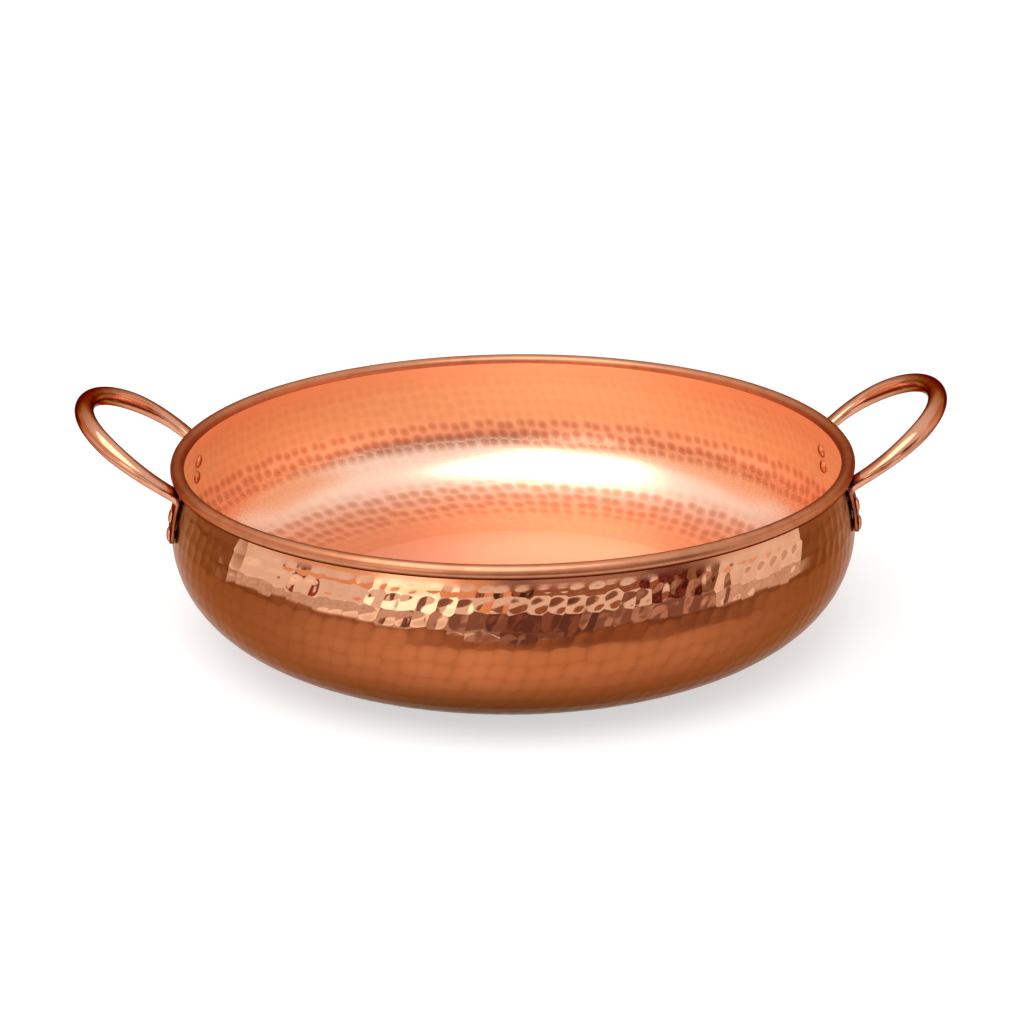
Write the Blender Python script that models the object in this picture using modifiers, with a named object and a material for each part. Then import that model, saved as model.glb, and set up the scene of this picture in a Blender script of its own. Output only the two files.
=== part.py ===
"""A round-bellied copper pan: one raised sheet with a wired rim, and two forged loop handles on rivets.

Metres, +Z up. The origin is the middle of the underside and the handles lie along X. The pieces are
the sheet body, the wire inside its rolled rim, two handles and eight rivets, two for each palm.
"""

import math

import bmesh
import bpy
from mathutils import Matrix, Vector
from mathutils.geometry import interpolate_bezier

# The body, measured over the outside of the sheet
RIM_DIAMETER = 0.360
PAN_HEIGHT = 0.0945
BELLY_SWELL = 0.0015
BELLY_HEIGHT = 0.055
BASE_DIAMETER = 0.232
SHEET = 0.0012
WIRE_DIAMETER = 0.003
NECK_LEAN = math.radians(20)

# How far each end of the wall's two curves keeps its direction, as shares of the curve's own height or width
NECK_PULL = 0.35
SHOULDER_PULL = 0.42
BELLY_PULL = 0.61
HEEL_PULL = 0.55

# The handles: the loop's reach and rise past the rim, its legs and bow, then the flattened feet
HANDLE_REACH = 0.0486
HANDLE_RISE = 0.0313
ROD_DIAMETER = 0.010
FOOT_SPREAD = 0.089
LEG_SPREAD = 0.093
RIM_GAP = 0.0008
LEG_SPLAY = math.radians(16)
LEG_RISE = math.radians(4)
LEG_PULL = 0.42
BOW_PULL = 0.46
ELBOW_WIDTH = 0.0104
ELBOW_THICKNESS = 0.0060
ELBOW_REACH = 0.001
ELBOW_PULL = 0.36
FORGED_LENGTH = 0.045
PALM_WIDTH = 0.013
PALM_THICKNESS = 0.0022
PALM_LENGTH = 0.0210
PALM_DROP = 0.0108
PALM_SQUARENESS = 0.45
ELBOW_SQUARENESS = 0.75

# The rivets
RIVET_DIAMETER = 0.004
RIVET_PITCH = 0.0095
RIVET_FROM_TIP = 0.0047
OUTER_HEAD_DIAMETER = 0.0076
OUTER_HEAD_HEIGHT = 0.0011
INNER_HEAD_DIAMETER = 0.0074
INNER_HEAD_HEIGHT = 0.0014

# Free space between pieces that touch on the real pan
CLEARANCE = 0.0003

# How finely round shapes are divided
TURN_STEPS = 72
CURL_STEPS = 12
SHOULDER_STEPS = 6
HEEL_STEPS = 9
WIRE_SIDES = 8
ROD_SIDES = 12
PALM_STEPS = 4
TIP_TURNS = (20, 45, 70, 90)
ELBOW_STEPS = 5
LOOP_STEPS = 12
RIVET_SIDES = 14
DOME_STEPS = 3
SHARP_EDGE = math.radians(45)
MERGE_DISTANCE = 0.00001

WIRE_RADIUS = WIRE_DIAMETER / 2
BEAD_RADIUS = WIRE_RADIUS + CLEARANCE + SHEET
BEAD_CENTRE = Vector((RIM_DIAMETER / 2 - BEAD_RADIUS, PAN_HEIGHT - BEAD_RADIUS))
BELLY_RADIUS = RIM_DIAMETER / 2 + BELLY_SWELL
ROD_RADIUS = ROD_DIAMETER / 2
HOLE_RADIUS = RIVET_DIAMETER / 2 + CLEARANCE
FACET_SAG = BELLY_RADIUS * (1 - math.cos(math.pi / TURN_STEPS))


def clear_scene():
    for old in list(bpy.data.objects):
        bpy.data.objects.remove(old, do_unlink=True)


def new_collection(name):
    group = bpy.data.collections.new(name)
    bpy.context.scene.collection.children.link(group)
    return group


def new_object(name, mesh, group):
    obj = bpy.data.objects.new(name, mesh)
    group.objects.link(obj)
    return obj


def polished_metal(obj, colour, roughness):
    """Gives the object a material of its own, on the object so that shared meshes can differ."""
    metal = bpy.data.materials.new(obj.name)
    metal.use_nodes = True
    metal.diffuse_color = (*colour, 1.0)
    shader = metal.node_tree.nodes["Principled BSDF"]
    shader.inputs["Base Color"].default_value = (*colour, 1.0)
    shader.inputs["Metallic"].default_value = 1.0
    shader.inputs["Roughness"].default_value = roughness
    if not obj.data.materials:
        obj.data.materials.append(metal)
    obj.material_slots[0].link = "OBJECT"
    obj.material_slots[0].material = metal


def turned(name, profile, steps, group):
    """A profile of (radius, height) points turned about Z."""
    mesh = bpy.data.meshes.new(name)
    edges = [(i, i + 1) for i in range(len(profile) - 1)]
    mesh.from_pydata([(radius, 0.0, height) for radius, height in profile], edges, [])
    obj = new_object(name, mesh, group)
    turn = obj.modifiers.new("turn", "SCREW")
    turn.steps = steps
    turn.render_steps = steps
    turn.use_merge_vertices = True
    turn.merge_threshold = MERGE_DISTANCE
    return obj


def curl_line():
    """Middle of the sheet round the rolled rim, from its free edge up the outside, over and in to the neck.

    The free edge stops just short of the neck, which leaves the thin open seam of a rolled rim.
    """
    neck = math.pi + NECK_LEAN
    sweep = 2 * math.pi - math.acos(WIRE_RADIUS / BEAD_RADIUS)
    radius = BEAD_RADIUS - SHEET / 2
    angles = [neck - sweep * (1 - i / CURL_STEPS) for i in range(CURL_STEPS + 1)]
    return [BEAD_CENTRE + radius * Vector((math.cos(a), math.sin(a))) for a in angles]


def wall_line():
    """Middle of the sheet from the neck down over the belly to the edge of the flat base."""
    neck = curl_line()[-1]
    belly = Vector((BELLY_RADIUS - SHEET / 2, BELLY_HEIGHT))
    base = Vector((BASE_DIAMETER / 2, SHEET / 2))
    down_neck = Vector((math.sin(NECK_LEAN), -math.cos(NECK_LEAN)))
    shoulder_height = neck.y - belly.y
    shoulder = interpolate_bezier(
        neck,
        neck + down_neck * shoulder_height * NECK_PULL,
        belly + Vector((0, shoulder_height * SHOULDER_PULL)),
        belly,
        SHOULDER_STEPS + 1,
    )
    heel = interpolate_bezier(
        belly,
        belly - Vector((0, (belly.y - base.y) * BELLY_PULL)),
        base + Vector(((belly.x - base.x) * HEEL_PULL, 0)),
        base,
        HEEL_STEPS + 1,
    )
    return shoulder + heel[1:]


def down_the_wall(distance):
    """The middle of the sheet so far below the neck, and the outward direction there, as (radius, height)."""
    line = wall_line()
    for start, end in zip(line, line[1:]):
        step = end - start
        if distance <= step.length:
            return start + step.normalized() * distance, Vector((-step.y, step.x)).normalized()
        distance -= step.length
    raise ValueError("the palm is longer than the wall")


def foot_angle():
    """The turn from the X axis to the middle of a palm, both palms of a handle standing FOOT_SPREAD apart."""
    seat, _ = down_the_wall(PALM_DROP)
    return math.asin(FOOT_SPREAD / 2 / seat.x)


def in_foot_plane(flat, angle):
    """A (radius, height) point or direction, stood in the upright plane at the angle."""
    return Vector((flat.x * math.cos(angle), flat.x * math.sin(angle), flat.y))


def palm_line():
    """Middle of the palm from its tip up to the elbow, with the distance of each point from the tip.

    It keeps its clearance from the wall all the way, and its first points close the round tip.
    """
    tip_radius = PALM_WIDTH / 2
    tip = [tip_radius * (1 - math.cos(math.radians(a))) for a in TIP_TURNS]
    plain = [tip_radius + (PALM_LENGTH - tip_radius) * (i + 1) / PALM_STEPS for i in range(PALM_STEPS)]
    lift = SHEET / 2 + CLEARANCE + PALM_THICKNESS / 2
    points = []
    for along in tip + plain:
        seat, outward = down_the_wall(PALM_DROP + PALM_LENGTH - along)
        points.append((seat + outward * lift, outward, along))
    return points


def leg_start():
    """Where the leg passes under the rim, the top of the loop, and the tilt between them, as seen along Y.

    The line from the one to the other touches a circle round the bead that keeps RIM_GAP free.
    """
    bead = Vector((math.sqrt(BEAD_CENTRE.x ** 2 - (LEG_SPREAD / 2) ** 2), BEAD_CENTRE.y))
    apex = Vector((RIM_DIAMETER / 2 + HANDLE_REACH - ROD_RADIUS, PAN_HEIGHT + HANDLE_RISE - ROD_RADIUS))
    keep_off = BEAD_RADIUS + RIM_GAP + ELBOW_THICKNESS / 2
    to_apex = apex - bead
    tilt = math.atan2(to_apex.y, to_apex.x) + math.asin(keep_off / to_apex.length)
    along = Vector((math.cos(tilt), math.sin(tilt)))
    start = bead + keep_off * Vector((along.y, -along.x)) + along * ELBOW_REACH
    return Vector((start.x, LEG_SPREAD / 2, start.y)), Vector((apex.x, 0, apex.y)), tilt


def eased_curve(start, way, end, end_way, pulls, steps):
    """Points of a smooth curve after its start, leaving and arriving along the given ways."""
    reach = (end - start).length
    first = start + way.normalized() * reach * pulls[0]
    second = end - end_way.normalized() * reach * pulls[1]
    return interpolate_bezier(start, first, second, end, steps + 1)[1:]


def half_handle_path():
    """Middle of the handle: the palm from its tip, the elbow under the rim, and half of the loop."""
    angle = foot_angle()
    palm = [in_foot_plane(point, angle) for point, _, _ in palm_line()]
    start, apex, tilt = leg_start()
    out = Vector((math.cos(tilt + LEG_RISE), 0, math.sin(tilt + LEG_RISE)))
    leg = out * math.cos(LEG_SPLAY) + Vector((0, math.sin(LEG_SPLAY), 0))
    elbow = eased_curve(palm[-1], palm[-1] - palm[-2], start, leg, (ELBOW_PULL, ELBOW_PULL), ELBOW_STEPS)
    loop = eased_curve(start, leg, apex, Vector((0, -1, 0)), (LEG_PULL, BOW_PULL), LOOP_STEPS)
    return palm, elbow, loop


def directions(path):
    """The way the path runs at each of its points, square to the middle plane at its last."""
    ways = [(path[1] - path[0]).normalized()]
    for before, after in zip(path, path[2:]):
        ways.append((after - before).normalized())
    return ways + [Vector((0, -1, 0))]


def rounded(value, squareness):
    return math.copysign(abs(value) ** squareness, value)


def blend(low, high, share):
    """From one section to another, eased at both ends."""
    share = min(max(share, 0.0), 1.0)
    share = share * share * (3 - 2 * share)
    return [a + (b - a) * share for a, b in zip(low, high)]


def half_handle_sections():
    """Middle of each section with its half width, half thickness and how far its corners are rounded."""
    palm, elbow, loop = half_handle_path()
    flat = (PALM_WIDTH / 2, PALM_THICKNESS / 2, PALM_SQUARENESS)
    bent = (ELBOW_WIDTH / 2, ELBOW_THICKNESS / 2, ELBOW_SQUARENESS)
    round_rod = (ROD_RADIUS, ROD_RADIUS, 1.0)
    sections = []
    for centre, (_, _, along) in zip(palm, palm_line()):
        from_tip = min(along / flat[0], 1.0)
        sections.append((centre, (flat[0] * math.sqrt(1 - (1 - from_tip) ** 2), *flat[1:])))
    for i, centre in enumerate(elbow):
        sections.append((centre, blend(flat, bent, (i + 1) / len(elbow))))
    along = 0.0
    before = elbow[-1]
    for centre in loop:
        along += (centre - before).length
        sections.append((centre, blend(bent, round_rod, along / FORGED_LENGTH)))
        before = centre
    return sections


def handle_mesh():
    """Half a handle, lofted from the flat palm into the round rod and open at the middle plane."""
    sections = half_handle_sections()
    outward = in_foot_plane(palm_line()[0][1], foot_angle())
    turns = [2 * math.pi * (k + 0.5) / ROD_SIDES for k in range(ROD_SIDES)]
    bm = bmesh.new()
    rings = []
    for (centre, (width, thickness, squareness)), way in zip(sections, directions([s[0] for s in sections])):
        outward = (outward - way * outward.dot(way)).normalized()
        across = outward.cross(way)
        ring = []
        for turn in turns:
            sideways = across * width * rounded(math.cos(turn), squareness)
            upwards = outward * thickness * rounded(math.sin(turn), squareness)
            ring.append(bm.verts.new(centre + sideways + upwards))
        rings.append(ring)
    bm.faces.new(rings[0][::-1])
    for low, high in zip(rings, rings[1:]):
        for k in range(ROD_SIDES):
            after = (k + 1) % ROD_SIDES
            bm.faces.new((low[k], low[after], high[after], high[k]))
    mesh = bpy.data.meshes.new("handle")
    bm.to_mesh(mesh)
    bm.free()
    mesh.shade_smooth()
    mesh.set_sharp_from_angle(angle=SHARP_EDGE)
    return mesh


def rivet_places():
    """Name and world matrix of each rivet: its Z points out of the wall from the middle of the sheet."""
    places = {}
    for side, side_turn in (("right", 0.0), ("left", math.pi)):
        for end, sign in (("front", -1), ("back", 1)):
            for row, from_tip in (("lower", RIVET_FROM_TIP), ("upper", RIVET_FROM_TIP + RIVET_PITCH)):
                seat, outward = down_the_wall(PALM_DROP + PALM_LENGTH - from_tip)
                angle = side_turn + foot_angle() * (sign if side == "right" else -sign)
                axis = in_foot_plane(outward, angle)
                turn = axis.to_track_quat("Z", "Y").to_matrix().to_4x4()
                places[f"{side}_{end}_{row}"] = Matrix.Translation(in_foot_plane(seat, angle)) @ turn
    return places


def dome(radius, height, foot):
    """Quarter outline of a low round head, from its top down to its edge, above or below the foot."""
    rise = math.copysign(height, foot)
    turns = [math.pi / 2 * (1 - i / DOME_STEPS) for i in range(DOME_STEPS + 1)]
    return [(radius * math.cos(turn), foot + rise * math.sin(turn)) for turn in turns]


def rivet_mesh_source(group):
    """The turned outline of one rivet, outer head up, with both heads a clearance off what they grip."""
    grip_out = SHEET / 2 + CLEARANCE + PALM_THICKNESS + CLEARANCE
    grip_in = -(SHEET / 2 + CLEARANCE + FACET_SAG)
    shank = RIVET_DIAMETER / 2
    outer = dome(OUTER_HEAD_DIAMETER / 2, OUTER_HEAD_HEIGHT, grip_out)
    inner = dome(INNER_HEAD_DIAMETER / 2, INNER_HEAD_HEIGHT, grip_in)
    outer[0] = (0.0, outer[0][1])
    inner[0] = (0.0, inner[0][1])
    profile = outer + [(shank, grip_out), (shank, grip_in)] + inner[::-1]
    return turned("rivet", profile, RIVET_SIDES, group)


def cut_holes(obj, cutters):
    cut = obj.modifiers.new("rivet holes", "BOOLEAN")
    cut.operation = "DIFFERENCE"
    cut.solver = "EXACT"
    cut.operand_type = "COLLECTION"
    cut.collection = cutters


def make_hole_cutters(group):
    length = 4 * (SHEET + PALM_THICKNESS)
    bm = bmesh.new()
    bmesh.ops.create_cone(
        bm,
        cap_ends=True,
        segments=RIVET_SIDES,
        radius1=HOLE_RADIUS,
        radius2=HOLE_RADIUS,
        depth=length,
    )
    mesh = bpy.data.meshes.new("rivet hole")
    bm.to_mesh(mesh)
    bm.free()
    for name, matrix in rivet_places().items():
        cutter = new_object(f"hole_{name}", mesh, group)
        cutter.matrix_world = matrix
        cutter.hide_render = True
        cutter.display_type = "WIRE"


def make_body(group, cutters):
    profile = curl_line() + wall_line()[1:] + [Vector((0.0, SHEET / 2))]
    body = turned("pot_body", profile, TURN_STEPS, group)
    wall = body.modifiers.new("sheet", "SOLIDIFY")
    wall.thickness = SHEET
    wall.offset = 0.0
    wall.use_even_offset = True
    cut_holes(body, cutters)
    polished_metal(body, (0.60, 0.21, 0.10), 0.22)


def make_rim_wire(group):
    bpy.ops.mesh.primitive_torus_add(
        major_segments=TURN_STEPS,
        minor_segments=WIRE_SIDES,
        major_radius=BEAD_CENTRE.x,
        minor_radius=WIRE_RADIUS,
        location=(0, 0, BEAD_CENTRE.y),
    )
    wire = bpy.context.object
    wire.name = "rim_wire"
    wire.data.shade_smooth()
    for owner in list(wire.users_collection):
        owner.objects.unlink(wire)
    group.objects.link(wire)
    polished_metal(wire, (0.50, 0.20, 0.11), 0.35)


def make_handles(group, cutters):
    mesh = handle_mesh()
    for side, turn in (("right", 0.0), ("left", math.pi)):
        handle = new_object(f"handle_{side}", mesh, group)
        handle.rotation_euler.z = turn
        mirror = handle.modifiers.new("other leg", "MIRROR")
        mirror.use_axis = (False, True, False)
        mirror.merge_threshold = MERGE_DISTANCE
        handle.modifiers.new("flat facets for the holes", "TRIANGULATE")
        cut_holes(handle, cutters)
        polished_metal(handle, (0.62, 0.24, 0.13), 0.15)


def make_rivets(group):
    source = rivet_mesh_source(group)
    graph = bpy.context.evaluated_depsgraph_get()
    mesh = bpy.data.meshes.new_from_object(source.evaluated_get(graph))
    bpy.data.objects.remove(source)
    mesh.name = "rivet"
    mesh.shade_smooth()
    mesh.set_sharp_from_angle(angle=SHARP_EDGE)
    for name, matrix in rivet_places().items():
        rivet = new_object(f"rivet_{name}", mesh, group)
        rivet.matrix_world = matrix
        polished_metal(rivet, (0.64, 0.27, 0.15), 0.18)


def main():
    clear_scene()
    pan = new_collection("copper_pan")
    cutters = new_collection("cutters")
    make_hole_cutters(cutters)
    make_body(pan, cutters)
    make_rim_wire(pan)
    make_handles(pan, cutters)
    make_rivets(pan)


main()
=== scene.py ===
"""The hammered copper pan: its dressed pieces, their metals, and a plain studio round them.

Metres, +Z up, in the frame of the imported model. The sheet body and the rivets come from Geometry Nodes,
the handles from a loft along the bent rod.
"""

import math

import bmesh
import bpy
from mathutils import Matrix, Vector
from mathutils.geometry import interpolate_bezier


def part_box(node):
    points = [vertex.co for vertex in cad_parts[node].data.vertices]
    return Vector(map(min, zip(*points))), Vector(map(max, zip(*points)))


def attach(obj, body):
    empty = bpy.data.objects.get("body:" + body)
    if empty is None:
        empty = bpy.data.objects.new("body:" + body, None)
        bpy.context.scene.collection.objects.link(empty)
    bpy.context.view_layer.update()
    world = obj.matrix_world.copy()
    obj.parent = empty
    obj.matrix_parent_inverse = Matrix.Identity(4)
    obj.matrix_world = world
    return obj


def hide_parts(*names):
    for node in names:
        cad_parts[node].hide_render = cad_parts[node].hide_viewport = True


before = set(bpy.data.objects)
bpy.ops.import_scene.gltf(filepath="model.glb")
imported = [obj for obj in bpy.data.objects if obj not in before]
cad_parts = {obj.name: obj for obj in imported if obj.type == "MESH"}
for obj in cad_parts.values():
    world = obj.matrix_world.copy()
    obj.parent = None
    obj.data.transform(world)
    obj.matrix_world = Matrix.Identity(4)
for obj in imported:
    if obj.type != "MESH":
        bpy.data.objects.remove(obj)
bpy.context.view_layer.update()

# Points nearer than NEAR are at one place. A noise's values lie evenly round its middle
MM = 0.001
NEAR = 0.01 * MM
MERGE_DISTANCE = 0.001 * MM
TINY = 1e-9
NOISE_MIDDLE = 0.5

# Over-all sizes, read off the frame
PAN_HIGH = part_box("pot_body")[1]
WIRE_LOW, WIRE_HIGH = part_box("rim_wire")
LOOP_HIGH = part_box("handle_right")[1]

# The sheet body
SHEET = 1.2 * MM
CLEARANCE = 0.3 * MM
BELLY_HEIGHT = 55 * MM
BASE_RADIUS = 116 * MM
NECK_LEAN = math.radians(20)
NECK_PULL = 0.35
SHOULDER_PULL = 0.42
BELLY_PULL = 0.61
HEEL_PULL = 0.55
WIRE_RADIUS = (WIRE_HIGH.z - WIRE_LOW.z) / 2
BEAD_RADIUS = WIRE_RADIUS + CLEARANCE + SHEET
BEAD_CENTRE = Vector((WIRE_HIGH.x - WIRE_RADIUS, WIRE_HIGH.z - WIRE_RADIUS))
BELLY_RADIUS = PAN_HIGH.x
CURL_STEPS, WALL_STEPS = 90, 60

# The rolled rim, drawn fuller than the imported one, inwards and downwards, as the photograph shows it
ROLL_SWELL = 0.6 * MM
ROLL_RADIUS = BEAD_RADIUS + ROLL_SWELL
ROLL_CENTRE = BEAD_CENTRE - Vector((ROLL_SWELL, ROLL_SWELL))

# How far apart the rings of the sheet's section are. The hidden ones are on the inside of the roll
OUTSIDE_RING = 1.9 * MM
INSIDE_RING = 2.1 * MM
HEEL_RING = 3.8 * MM
ROLL_RING = 1.0 * MM
HIDDEN_RING = 2.2 * MM
BASE_RING = 13 * MM

# The hammer marks, in rows down the wall, each row with its count of marks all the way round
TURN_STEPS = 576
MARKS_OUTSIDE = 132
MARKS_UPPER = 168
MARKS_LOWER = 120
ROW_OUTSIDE = 8.3 * MM
ROW_INSIDE = 6.9 * MM
FIRST_ROW = 5.8 * MM
LAST_ROW_OUTSIDE = 122 * MM
LAST_ROW_INSIDE = 132 * MM
COUNT_CHANGE = 67 * MM
MARK_SEED = 0
MARK_DEPTH = 0.15 * MM
MARK_EDGE = 0.16 * MM
MARK_JITTER = 0.34
MARK_DRIFT = 0.3
MARK_REACH, DENT_REACH = 0.70, 0.54
MARK_FULLNESS, DENT_FULLNESS = 1.6, 1.1
WAVE_HEIGHT = 0.12 * MM
WAVE_LENGTH = 45 * MM
WAVE_START = (3 * MM, 20 * MM)

# How strongly the marks show. Each pair is where a change starts and ends, as a distance down from the neck.
# ROWS_BEGIN is in rows, and CHANGE_GAP is the distance to the change of count
ROWS_BEGIN = (0.0, 0.5)
OUTER_STRENGTH = 1.5
BELLY_LESS = 0.55
SHOULDER_END = (23 * MM, 35 * MM)
HEEL_RUN = 12 * MM
INNER_STRENGTH = 0.6
UPPER_WALL_SHARE = 0.2
UPPER_WALL_END = (35 * MM, 42 * MM)
BEND_LESS = 0.85
BEND_START, BEND_END = (53 * MM, 59 * MM), (75 * MM, 82 * MM)
CHANGE_GAP = (2.2 * MM, 5 * MM)
FLOOR_LESS = 0.8
FLOOR_START = (98 * MM, 112 * MM)
DISC_RUN = 14 * MM

# The buffed band: its lower edge in rows of marks, and its ends by how far round towards a handle they lie
BUFFED_ROWS = 3.3
BUFFED_ROWS_LESS = 1.0
BUFFED_RISE = (0.0, 0.45)
BUFFED_WANDER = 0.9
BUFFED_BY_MARK = 0.45
BUFFED_EDGE = 0.04
BUFFED_SIDE = 0.77
BUFFED_SIDE_WANDER = 0.12
BUFFED_SIDE_EDGE = 0.01

# Where one finish gives way to the next, from none of it to all of it: heights over the base, then how far
# round towards a handle, then rows of marks. Several of them place painted shade, painted reflection or a
# painted highlight
HEEL_FADE = (46 * MM, 10 * MM)
BASE_FADE = (3 * MM, 0.5 * MM)
INNER_WALL_FADE = (30 * MM, 50 * MM)
INNER_NECK_FADE = (68 * MM, 88 * MM)
BEND_FROM_WALL = (58 * MM, 40 * MM)
BEND_FROM_FLOOR = (9 * MM, 24 * MM)
UNDER_RIM_FADE = (ROLL_CENTRE.y - 0.6 * MM, ROLL_CENTRE.y - 2.2 * MM)
BY_HANDLE_FADE = (0.1, 0.9)
NECK_ROWS = (-0.1, 0.5)
DISC_ROWS = (17.3, 17.8)

# The patterns' sizes. A polisher's scratches are under 0.1 mm wide, too fine to show, and are drawn coarser
TARNISH_BLOT = 14 * MM
BROAD_BLOT = 60 * MM
HAND_BLOT = 9 * MM
HAND_RIPPLE = 0.25 * MM
RIVET_BLOT = 2.4 * MM
GRAIN_SIZE = 0.8 * MM
GRAIN_ROUGHNESS = 0.05
GRAIN_HEIGHT = 0.001 * MM

# How much of each browner place shows. A blot's four numbers are the levels of its noise at which it starts
# and is full, and its least and greatest share
BROAD_SHOWS = (0.35, 0.7, 0.0, 0.3)
TARNISH_SHOWS = (0.45, 0.85, 0.0, 0.3)
RIM_SHOWS = (0.4, 0.8, 0.0, 0.5)
HAND_SHOWS = (0.45, 0.85, 0.0, 0.5)
RIDGE_SHARPNESS, RIDGE_SHOWS = 2.0, 0.45
DENT_SHOWS = 0.9

# The finishes' roughness
MIRROR_ROUGHNESS = 0.06
NECK_ROUGHNESS = 0.2
SATIN_ROUGHNESS = 0.26
INNER_FLOOR_ROUGHNESS = 0.38
INNER_WALL_ROUGHNESS = 0.53
INNER_BEND_ROUGHNESS = 0.27
RIM_ROUGHNESS = 0.33
HANDLE_ROUGHNESS = 0.17
RIVET_ROUGHNESS = 0.26
WIRE_ROUGHNESS = 0.35

# The finishes' colours, among them painted shade, painted reflection and a painted highlight, marked where
# they stand. A tint is what the metal turns to where it is seen edge on
# The satin colour is deepened as a painted reflection of a brown table
SATIN_COLOUR, SATIN_BROWN = "BE6C40", "8A4218"
# Painted shade: the heel turns darker towards the bottom, as if it reflected the shadowed floor under the pan
HEEL_PAINTED_SHADE = "301306"
# Painted reflection: the outside turns darker towards the handles, as if it reflected dark surroundings at
# the sides
BY_HANDLE_PAINTED_REFLECTION = "7E4020"
# Painted shade: darker over the flat base and the lowest edge, where the pan meets the floor
BASE_PAINTED_SHADE = "6E3A1E"
RIDGE_BROWN = "74360F"
BUFFED_COLOUR, BUFFED_TARNISH, OUTER_TINT = "E2A480", "B05C36", "EECEBC"
# The floor ring is darkened as painted shade below the bend's highlight, and the disc made paler as a painted
# reflection
INNER_FLOOR_SHADE, INNER_DISC_REFLECTION = "EDAD8F", "F4BDA6"
# The bend's paler colour is a painted highlight where the top lamp is reflected
# The wall near the rim is darkened as painted shade
INNER_WALL_COLOUR, INNER_NECK_SHADE, INNER_BEND_HIGHLIGHT = "FFD7A7", "FFCAA0", "FFD2B8"
DENT_BROWN, INNER_TINT = "B8602F", "FFFFFF"
# The rim's underside colour is painted shade under the roll
RIM_COLOUR, RIM_BROWN, RIM_UNDERSIDE_SHADE, RIM_TINT = "C68462", "A0664A", "6E3820", "9A6244"
HANDLE_COLOUR, RIVET_COLOUR, WIRE_COLOUR = "D6987A", "EAA680", "C98A66"
HAND_BROWN, HAND_TINT = "A5623E", "8A583E"

# The handles
ROD_RADIUS = 5 * MM
FOOT_SPREAD = 89 * MM
LEG_SPREAD = 93 * MM
RIM_GAP = 0.8 * MM
LEG_SPLAY = math.radians(16)
LEG_RISE = math.radians(4)
LEG_PULL = 0.42
BOW_PULL = 0.46
ELBOW_WIDTH = 10.4 * MM
ELBOW_THICKNESS = 6 * MM
ELBOW_REACH = 1 * MM
ELBOW_PULL = 0.36
FORGED_LENGTH = 45 * MM
PALM_WIDTH = 13 * MM
PALM_THICKNESS = 2.2 * MM
PALM_LENGTH = 21 * MM
PALM_DROP = 10.8 * MM
PALM_SQUARENESS = 0.45
ELBOW_SQUARENESS = 0.75
ROD_SIDES = 40
PALM_STEPS = 12
TIP_STEPS = 8
TIP_START = 0.4
ELBOW_STEPS = 16
LOOP_STEPS = 44

# Where the handles are browner: from how far out, a painted reflection of dark surroundings on the bow, and
# below which height, painted shade on the palms, each with the distance over which that comes on
BOW_REFLECTION_FROM, BOW_REFLECTION_RUN = 208 * MM, 18 * MM
PALM_SHADE_FROM, PALM_SHADE_RUN = 76 * MM, 8 * MM
NOWHERE = 10.0

# The rivets
RIVET_RADIUS = 2 * MM
RIVET_PITCH = 9.5 * MM
RIVET_FROM_TIP = 4.7 * MM
OUTER_HEAD = (3.8 * MM, 1.1 * MM)
INNER_HEAD = (3.7 * MM, 1.4 * MM)
DOME_STEPS = 10
RIVET_STEPS = 36
RIVET_UNEVENNESS = 0.12 * MM
RIVET_SEED = 4

# The camera, at the photograph's distance, tilt and roll, looking at a point near the pan's middle
CAMERA_DISTANCE = 1.150
CAMERA_TILT = math.radians(19.856)
CAMERA_ROLL = math.radians(-0.597)
CAMERA_TURN = math.radians(-1.2)
CAMERA_TARGET = Vector((-0.6 * MM, 0, 56.3 * MM))
CAMERA_LENS = 75.35
CAMERA_SENSOR = 36.0
CAMERA_CLIP = (0.01, 50.0)

# The studio
FLOOR_SIDE = 18.0
FLOOR_GAP = 0.2 * MM
FLOOR_LIFT = 0.58
PAPER_COLOUR, PAPER_ROUGHNESS = "BEBDBB", 0.9
WHITE = "FFFFFF"
ROOM_LIGHT = 0.8
CARD_BLOT = 45 * MM
CARD_FADE = (0.42, 0.58)
CARD_STEP = 4

# Each lamp's place, size and power, and what it is aimed at
LAMPS = {
    "top_softbox": ((-0.32, -0.65, 1.15), (1.3, 1.3), 12.0, (-0.2, -0.5, 0)),
    "left_softbox": ((-0.75, -1.25, 0.30), (0.55, 0.36), 0.9, (0, 0, 0.05)),
}

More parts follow.
